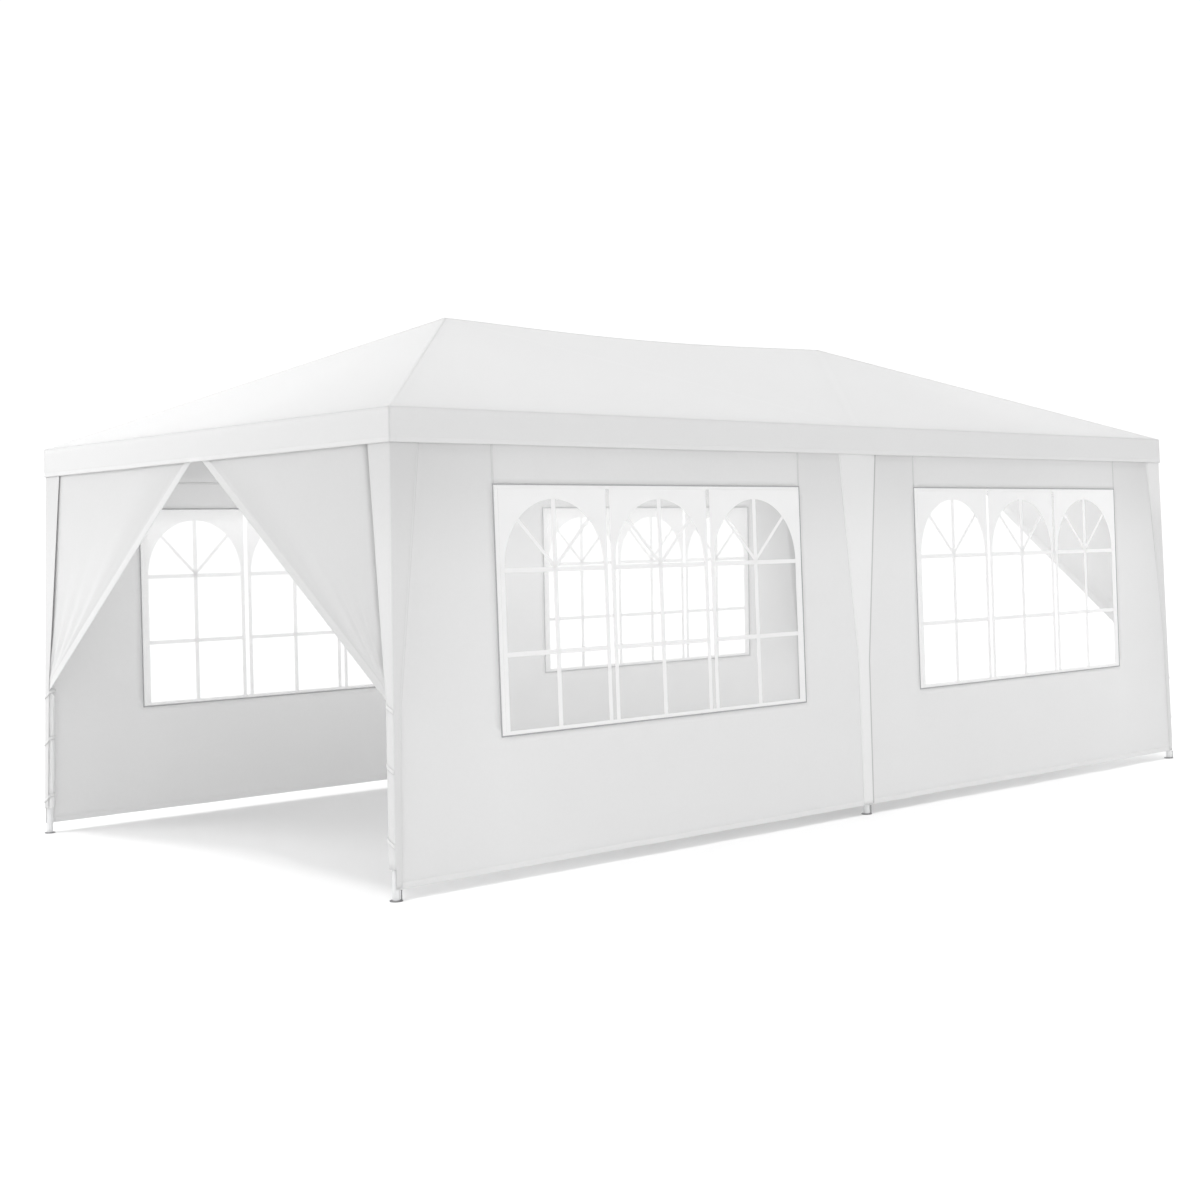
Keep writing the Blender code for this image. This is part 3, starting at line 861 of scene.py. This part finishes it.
def make_corner_flap(row, column, sign):
    """Cloth that wraps a corner leg, from the long side round to the doorway's side."""
    long_side, flap, rows = SIDES[row], Builder(), []
    heights = flap_heights()
    for z in heights:
        arm = flap_reach(z) - CLOTH / 2 - FLAP_ROUND
        lines = []
        for side, turned in ((long_side, sign), (SIDES[column], -sign)):
            line = []
            for index, offset in enumerate(list(FLAP_EDGE) + spaced(FLAP_INNER, arm, 6)):
                u = side.corner(z, FLAP_OUT) - FLAP_ROUND - arm + offset
                slack = 0.0008 * drift(u * 9, z * 3, sign + 2.0) * smooth(0, 0.02, arm - offset)
                dip = STITCH_GROOVE if index == FLAP_STITCH else 0
                if side is long_side:
                    dip += FLAP_CLING * (1 - smooth(0, 0.03, offset))
                line.append(side.point(turned * u, z, FLAP_OUT + slack - dip))
            lines.append(line)
        front, beside = lines
        corner = long_side.point(sign * long_side.corner(z, FLAP_OUT), z, FLAP_OUT)
        bend = [
            front[-1] * (1 - share) ** 2 + corner * 2 * share * (1 - share) + beside[-1] * share**2
            for share in spaced(0, 1, 6)[1:-1]
        ]
        rows.append(front + bend + beside[::-1])
    bend_from = len(front) - 1

    def cut_short(index, step):
        """On the doorway's side the flap ends higher."""
        return heights[index] < FLAP_LOW_Z - 1e-6 and step >= bend_from

    def layers(index, step):
        # Painted light on the doorway-side arm and at the top of the right-hand flaps
        arm_painted_light = END_ARM_PAINTED_LIGHT if step > bend_from + 2 else 0.0
        return arm_painted_light + FLAP_TOP_PAINTED_LIGHT[column] * smooth(FLAP_TOP_Z - 0.6, FLAP_TOP_Z - 0.1, heights[index])

    flap.patch(rows, hole=cut_short, folds_and_painted_light=layers)
    place = f"{row}_{column}"
    return flap.piece(f"flap_cloth_{place}", FLAP_CLOTH, "roof_cloth", f"leg_flap_{place}", **HUNG)


def make_middle_flap(row):
    """A flat flap over a middle leg, painted lighter, with a painted shadow along one edge."""
    side = SIDES[row]
    flap = Builder()
    rows = []
    for z in flap_heights():
        reach = flap_reach(z)
        half = [edge - reach for edge in FLAP_EDGE] + spaced(FLAP_INNER - reach, 0, 6)
        across = half + [-u for u in reversed(half[:-1])]
        points = []
        for index, u in enumerate(across):
            dip = STITCH_GROOVE if min(index, len(across) - 1 - index) == FLAP_STITCH else 0
            dip += FLAP_CLING * (1 - smooth(0, 0.03, reach - abs(u)))
            points.append(side.point(u, z, FLAP_OUT + FLAP_CROWN * (1 - (u / reach) ** 2) - dip))
        rows.append(points)
    painted_shadow_from = len(rows[0]) - 3

    def layers(index, step):
        return MIDDLE_EDGE_PAINTED_SHADOW if step >= painted_shadow_from else MIDDLE_FLAP_PAINTED_LIGHT

    flap.patch(rows, folds_and_painted_light=layers)
    return flap.piece(f"flap_cloth_{row}_middle", FLAP_CLOTH, "roof_cloth", f"leg_flap_{row}_middle", **HUNG)


# Door curtains

CURTAIN_OVER = 0.014
CURTAIN_HEM = 0.038
HEM_SHADE = 8
SWAG_COLUMNS = 40
FOLD_STEPS = (0.020, 0.008, 0.0, -0.004, -0.008, -0.012, -0.016, -0.020, -0.026, -0.036, -0.050)
# Painted shade in the folds beside the flap's edge
FOLD_PAINTED_SHADE = {7: -3.0, 8: -5.5, 9: -6.0, 10: -5.5, 11: -4.0, 12: -2.5, 13: -1.2, 14: -0.5}
HEM_SHARES = (0.03, 0.08, 0.25, 0.5, 0.75, 0.92, 0.98, 1.0)
# Painted shade along the hem's inner side
HEM_PAINTED_SHADE = -0.9
HEM_FOLD = 0.3
WRAP_R = 0.0196
WRAP_LOW_Z = 0.129
WRAP_FROM = math.radians(30)
WRAP_TO = math.radians(180)
# Cloth wound round the leg lets less light through, and gets painted light
WRAP_TURNS_AND_PAINTED_LIGHT = 2.5
ROLL_DROP = 0.06
UNDER_FLAP = WALL_OUT + 0.0012
PLEATS = 5.5
CURTAIN_TUCK = {"front": 0.020, "back": 0.003}
# Painted shade that grows down the front curtains, and painted light down the back ones
CURTAIN_PAINTED_TONE = {"front": -0.9, "back": 0.6}


def curtain_widths(side, z, tie_z):
    """The leg's line, the free edge and the hem's inner line of a swag at a height."""
    leg_u = side.corner(z, CURTAIN_OVER)
    tie_u = side.corner(tie_z) - TIE_REACH
    rise = CURTAIN_MEET_Z - tie_z
    free_u = lerp(PANEL_SEAM / 2, tie_u, min(max((CURTAIN_MEET_Z - z) / rise, 0), 1))
    band = CURTAIN_HEM * math.hypot(rise, tie_u) / rise
    return leg_u, free_u, free_u + min(band, 0.45 * (leg_u - free_u))


def flap_edge(side, z):
    """Where the free edge of a corner's flap lies at a height."""
    return side.corner(z, FLAP_OUT) - flap_reach(min(max(z, FLAP_LOW_Z), FLAP_TOP_Z))


def swag_places(side, z, leg_u, hem_u):
    """Places across a swag, close together beside the flap's edge."""
    near = [flap_edge(side, z) + offset for offset in FOLD_STEPS]
    limit = lerp(leg_u, hem_u, 0.6)
    if near[-1] < limit:
        squeeze = (leg_u - limit) / (leg_u - near[-1])
        near = [leg_u - (leg_u - u) * squeeze for u in near]
    rest = SWAG_COLUMNS - 4 - len(near)
    return spaced(leg_u, near[0], 5)[:-1] + near + spaced(near[-1], hem_u, rest)[1:]


def tucked(side, u, z, tie_z, out, tuck):
    """A curtain dips behind its leg flap, with a deep fold along the flap's edge."""
    edge, leg = flap_edge(side, z), side.corner(z)
    fold = smooth(edge - 0.045, edge - 0.010, u) * (1 - smooth(leg - 0.045, leg - 0.015, u))
    fold *= smooth(tie_z + 0.05, tie_z + 0.25, z) * smooth(NODE_Z, VALANCE_Z, z)
    out -= tuck * fold
    return min(out, UNDER_FLAP) if u > edge - 0.012 else out


def swag_row(side, sign, z, tie_z, tuck):
    """Points across the open part of a curtain, from its leg to its free edge."""
    leg_u, free_u, hem_u = curtain_widths(side, z, tie_z)
    width = leg_u - free_u
    drawn = (NODE_Z - z) / (NODE_Z - tie_z)
    depth = min(0.008, 0.26 * width / PLEATS) * smooth(0.15, 1.0, drawn)
    points = []
    for u in swag_places(side, z, leg_u, hem_u):
        fraction = (leg_u - u) / width
        held = smooth(0.0, 0.10, fraction * max(width, 0.3) / 0.3)
        held *= smooth(0, min(0.09, 0.6 * (leg_u - hem_u)), u - hem_u)
        wave = math.sin(math.tau * PLEATS * fraction + 0.8)
        wave += 0.35 * math.sin(math.tau * 2.3 * fraction + 2.0)
        belly = 0.010 * math.sin(math.pi * fraction) * math.sin(math.pi * min(drawn, 1))
        points.append((u, WALL_OUT + held * (0.5 * depth * wave - belly)))
    hem_out = points[-1][1]
    points[-1] = (points[-1][0], hem_out - 0.0008)
    for share in HEM_SHARES:
        roll = 0.0016 * (1 - (2 * share - 1) ** 4) if share < 1 else -0.0010
        points.append((lerp(hem_u, free_u, share), hem_out + roll * smooth(0.02, 0.2, width)))
    return [side.point(sign * u, z, tucked(side, u, z, tie_z, out, tuck)) for u, out in points]


def wrap_row(side, sign, z, tie_z, columns):
    """The cloth below the tie. It starts flat and soon lies round the leg in slanting pleats."""
    rolled = smooth(0, ROLL_DROP, tie_z - z)
    points = []
    for share in spaced(0, 1, columns - 1):
        flat = Vector((CURTAIN_OVER - share * (CURTAIN_OVER + TIE_REACH), WALL_OUT))
        to_angle = lerp(WRAP_FROM, WRAP_TO, share)
        pleats = math.sin(to_angle * 7 + z * 34) + 0.5 * math.sin(to_angle * 11 - z * 21)
        angle = lerp(math.atan2(-flat.x, flat.y), to_angle, rolled)
        reach = max(lerp(flat.length, WRAP_R + 0.0007 * pleats, rolled), TUBE_R + 0.0012)
        u = side.corner(z) - reach * math.sin(angle)
        points.append(side.point(sign * u, z, min(reach * math.cos(angle), UNDER_FLAP)))
    return points


def make_curtain(end, row, sign):
    """A door curtain, tied back to its leg and wrapped round it below the tie."""
    side, tie_z, tuck = SIDES[end], TIE_Z[end][row], CURTAIN_TUCK[row]
    curtain = Builder()
    heights = spaced(NODE_Z, CURTAIN_MEET_Z, 5) + spaced(CURTAIN_MEET_Z, tie_z, 60)[1:]
    rows = [swag_row(side, sign, z, tie_z, tuck) for z in heights]
    columns = len(rows[0])
    lower = spaced(tie_z, tie_z - ROLL_DROP, 10)[1:] + spaced(tie_z - ROLL_DROP, WRAP_LOW_Z, 60)[1:]
    rows += [wrap_row(side, sign, z, tie_z, columns) for z in lower]

    def layers(index, step):
        """A hem folded double, painted shade in the folds beside it and beside the flap, painted shade down
        the front curtains and painted light down the back ones, and cloth wound round the leg below the tie,
        which lets less light through and gets painted light.
        """
        if index >= len(heights):
            return WRAP_TURNS_AND_PAINTED_LIGHT
        tone = CURTAIN_PAINTED_TONE[row] * (index / len(heights))
        if step > SWAG_COLUMNS:
            return HEM_FOLD + tone
        # Painted shade beside the hem and in the folds by the flap
        shade_beside_hem = HEM_PAINTED_SHADE * smooth(SWAG_COLUMNS - HEM_SHADE, SWAG_COLUMNS, step)
        return FOLD_PAINTED_SHADE.get(step, 0.0) * tuck / CURTAIN_TUCK["front"] + shade_beside_hem + tone

    curtain.patch(rows, folds_and_painted_light=layers)
    place = f"{end}_{row}"
    return curtain.piece(f"curtain_cloth_{place}", DOOR_CLOTH, "wall_cloth", f"curtain_{place}", **HUNG)


# Straps round the corner legs

TIE_DROPS = (0.005, 0.250, 0.550)
TIE_LOWEST = 0.17
TIE_BAND = 0.018
TIE_FALL = 0.036
TIE_PROFILE = ((0.5, -0.0004), (0.35, 0.0006), (0, 0.0009), (-0.3, 0.0006), (-0.5, -0.0004))
# Painted shade along each strap's edges, darkest along the lower one
TIE_EDGE_PAINTED_SHADE = (-2.0, 0.0, 0.0, 0.0, -7.0)
TIE_PATH = (
    (0, -0.0235), (-0.009, -0.0220), (-0.018, -0.0155), (-0.0235, -0.006), (-0.0262, 0.004),
    (-0.0272, 0.014), (-0.0262, 0.0215), (-0.0215, 0.0242), (-0.012, 0.0246), (0, 0.0246),
    (0.012, 0.0246), (0.0185, 0.0236), (0.0215, 0.0208),
)


def make_ties(end, row, sign):
    """Straps round a corner leg, its curtain and its flap. Each drops towards the corner."""
    side = SIDES[end]
    straps = Builder()
    for top in (TIE_Z[end][row] - drop for drop in TIE_DROPS):
        if top < TIE_LOWEST:
            continue
        rows = []
        for up, lift in TIE_PROFILE:
            line = []
            for index, (along, out) in enumerate(TIE_PATH):
                z = top + up * TIE_BAND - TIE_FALL * smooth(0.3, 1.0, index / (len(TIE_PATH) - 1))
                reach = math.hypot(along, out)
                grow = (reach + lift) / reach
                line.append(side.point(sign * (side.corner(z) + along * grow), z, out * grow))
            rows.append(line)
        # Painted shade on the straps' edges
        straps.patch(rows, folds_and_painted_light=lambda index, step: TIE_EDGE_PAINTED_SHADE[index])
    leg = side.point(sign * side.corner(0.5), 0.5, 0)
    return straps.piece(f"leg_straps_{end}_{row}", SEAM_CLOTH, "wall_cloth", thickness=0.0008, centre=leg)


# Frame

STUB = 0.070
TUBE_WALL = 0.001
TUBE_LIP = 0.0006
JOINT_HALF = 0.035
JOINT_SWELL = 0.0007
JOINT_RAMP = 0.002
BUTTON_R = 0.0035
BUTTON_TIP = 0.0026
FOOT_R = 0.0275
FOOT_PLATE = 0.004
FOOT_BORE = 0.004
FOOT_EDGE = 0.001
WELD_Z = FOOT_PLATE + 0.0014
PEG_R = 0.0025
PEG_TOP = 0.046
PEG_HEAD = 0.0025


def tube_profile(length, joint):
    """A tube's wall as a loop of (distance, radius). joint is how far along a sleeve joint is, if any."""
    outside = [(0, TUBE_R - TUBE_LIP), (TUBE_LIP, TUBE_R)]
    if joint:
        low, high, swollen = joint - JOINT_HALF, joint + JOINT_HALF, TUBE_R + JOINT_SWELL
        outside += [(low - JOINT_RAMP, TUBE_R), (low, swollen)]
        outside += [(high, swollen), (high + JOINT_RAMP, TUBE_R)]
    outside += [(length - TUBE_LIP, TUBE_R), (length, TUBE_R - TUBE_LIP)]
    return outside + [(length, TUBE_R - TUBE_WALL), (0, TUBE_R - TUBE_WALL)]


def make_tube(node, start, end, joint_share=0):
    """A tube in place of a node. One in two lengths has a sleeve joint with a spring button."""
    tube = Builder()
    length = (end - start).length
    joint = joint_share * length
    tube.lathe(start, end, tube_profile(length, joint))
    if joint:
        along = (end - start).normalized()
        place = start + along * (joint + 0.02)
        inward = Vector((-place.x, -place.y, 0))
        inward = (inward - along * inward.dot(along)).normalized()
        button = (place + inward * (TUBE_R - 0.0005), place + inward * (TUBE_R + 0.0030))
        tube.rod(*button, BUTTON_R, BUTTON_TIP, 12)
    kind, tail = node.replace("_beam", "").split("_", 1)
    tube.piece(f"{kind}_tube_{tail}", PAINT, "frame_paint", node, hard=True)


def make_beam(node, start, end, joint_share=0):
    """A tube that runs between the stubs of two fittings."""
    stub = (end - start).normalized() * (STUB + GAP)
    make_tube(node, start + stub, end - stub, joint_share)


def make_frame():
    tops = eave_points(NODE_X, NODE_Y, NODE_Z)
    for row in ROWS:
        for column in ENDS:
            make_beam(f"eave_beam_{row}_{column}", tops[row, column], tops[row, "middle"], 0.5)
    for column in ENDS:
        make_beam(f"eave_beam_end_{column}", tops["front", column], tops["back", column], 0.5)
    for bay, x in CROWNS.items():
        for row in ROWS:
            for column, word in ((bay, "corner"), ("middle", "middle")):
                make_beam(f"rafter_{bay}_{row}_{word}", tops[row, column], Vector((x, 0, CROWN_Z)))
    for (row, column), top in tops.items():
        make_leg(f"{row}_{column}", top)


def make_leg(place, top):
    """A leg in two lengths, welded to a round plate, with the peg that pins it to the ground."""
    outward = math.copysign(1, top.y)
    lean_x = math.copysign(SPLAY_X, top.x) if top.x else 0
    ground = Vector((top.x + lean_x, top.y + outward * SPLAY_Y, 0))
    along = (ground - top).normalized()
    foot_top = ground - along * (FOOT_PLATE + 0.0002)
    make_tube(f"leg_{place}", top + along * (STUB + GAP), foot_top, 0.48)
    foot = Builder()
    plate = [(0, FOOT_BORE), (0, FOOT_R - FOOT_EDGE), (FOOT_EDGE, FOOT_R)]
    plate += [(FOOT_PLATE - FOOT_EDGE, FOOT_R), (FOOT_PLATE, FOOT_R - FOOT_EDGE)]
    plate += [(FOOT_PLATE, TUBE_R + 0.0016), (WELD_Z, TUBE_R + 0.0003), (WELD_Z, FOOT_BORE)]
    foot.lathe(ground, ground + Vector((0, 0, 1)), plate, 32)
    foot.piece(f"foot_plate_{place}", ZINC, "foot_steel", hard=True)
    peg_at = ground + Vector((0.015, 0.0165 * outward, 0))
    peg = Builder()
    heights = (0.0005, PEG_TOP - 0.0015, PEG_TOP - PEG_HEAD, PEG_TOP)
    low, shank_top, head_low, high = (peg_at + Vector((0, 0, z)) for z in heights)
    peg.rod(low, shank_top, PEG_R, PEG_R, 12)
    peg.rod(head_low, high, 0.0040, 0.0032, 16)
    peg.piece(f"foot_peg_{place}", ZINC, "foot_steel", hard=True)


def dress_fittings():
    """The connectors and crowns keep their CAD solids, with a smooth painted finish."""
    for name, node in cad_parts.items():
        if name.startswith(("connector_", "crown_")):
            for slot in node.material_slots:
                slot.material = PAINT
            node.data.shade_smooth()
            node.data.set_sharp_from_angle(angle=SHARP)


# Assembly


def curtain_area(side, tie_z):
    """The tapered swag, and the band of cloth round the leg below its tie."""
    width = side.corner(NODE_Z, CURTAIN_OVER)
    swag = (width + CURTAIN_OVER + TIE_REACH) / 2 * (CURTAIN_MEET_Z - tie_z)
    band = WRAP_R * (WRAP_TO - WRAP_FROM) * (tie_z - WRAP_LOW_Z)
    return width * (NODE_Z - CURTAIN_MEET_Z) + swag + band


def build_long_side(row):
    """Two bays of wall, each with its window and corner flap, and the middle flap."""
    side = SIDES[row]
    wide, narrow = side.corner(HEM_Z, TUBE_R), side.corner(NODE_Z, TUBE_R)
    for column, sign in HALVES[row].items():
        bay = side, sign, f"{row}_{column}"
        wall = make_wall(*bay)
        film = make_film(*bay)
        white, grey_edge = make_border(*bay)
        bars = make_bars(*bay)
        seams = make_wall_seams(*bay)
        flap = make_corner_flap(row, column, sign)
    middle = make_middle_flap(row)


def build_doorway(end):
    """The two curtains of one end, each with its straps."""
    side = SIDES[end]
    for row, sign in HALVES[end].items():
        curtain = make_curtain(end, row, sign)
        straps = make_ties(end, row, sign)
        side.corner(NODE_Z, CURTAIN_OVER)
        curtain_area(side, TIE_Z[end][row])


def build():
    make_camera()
    make_floor()
    make_studio()
    make_frame()
    dress_fittings()
    cover = make_cover()
    roof_seams = make_roof_seams()
    for row in ROWS:
        build_long_side(row)
    for end in ENDS:
        build_doorway(end)


build()
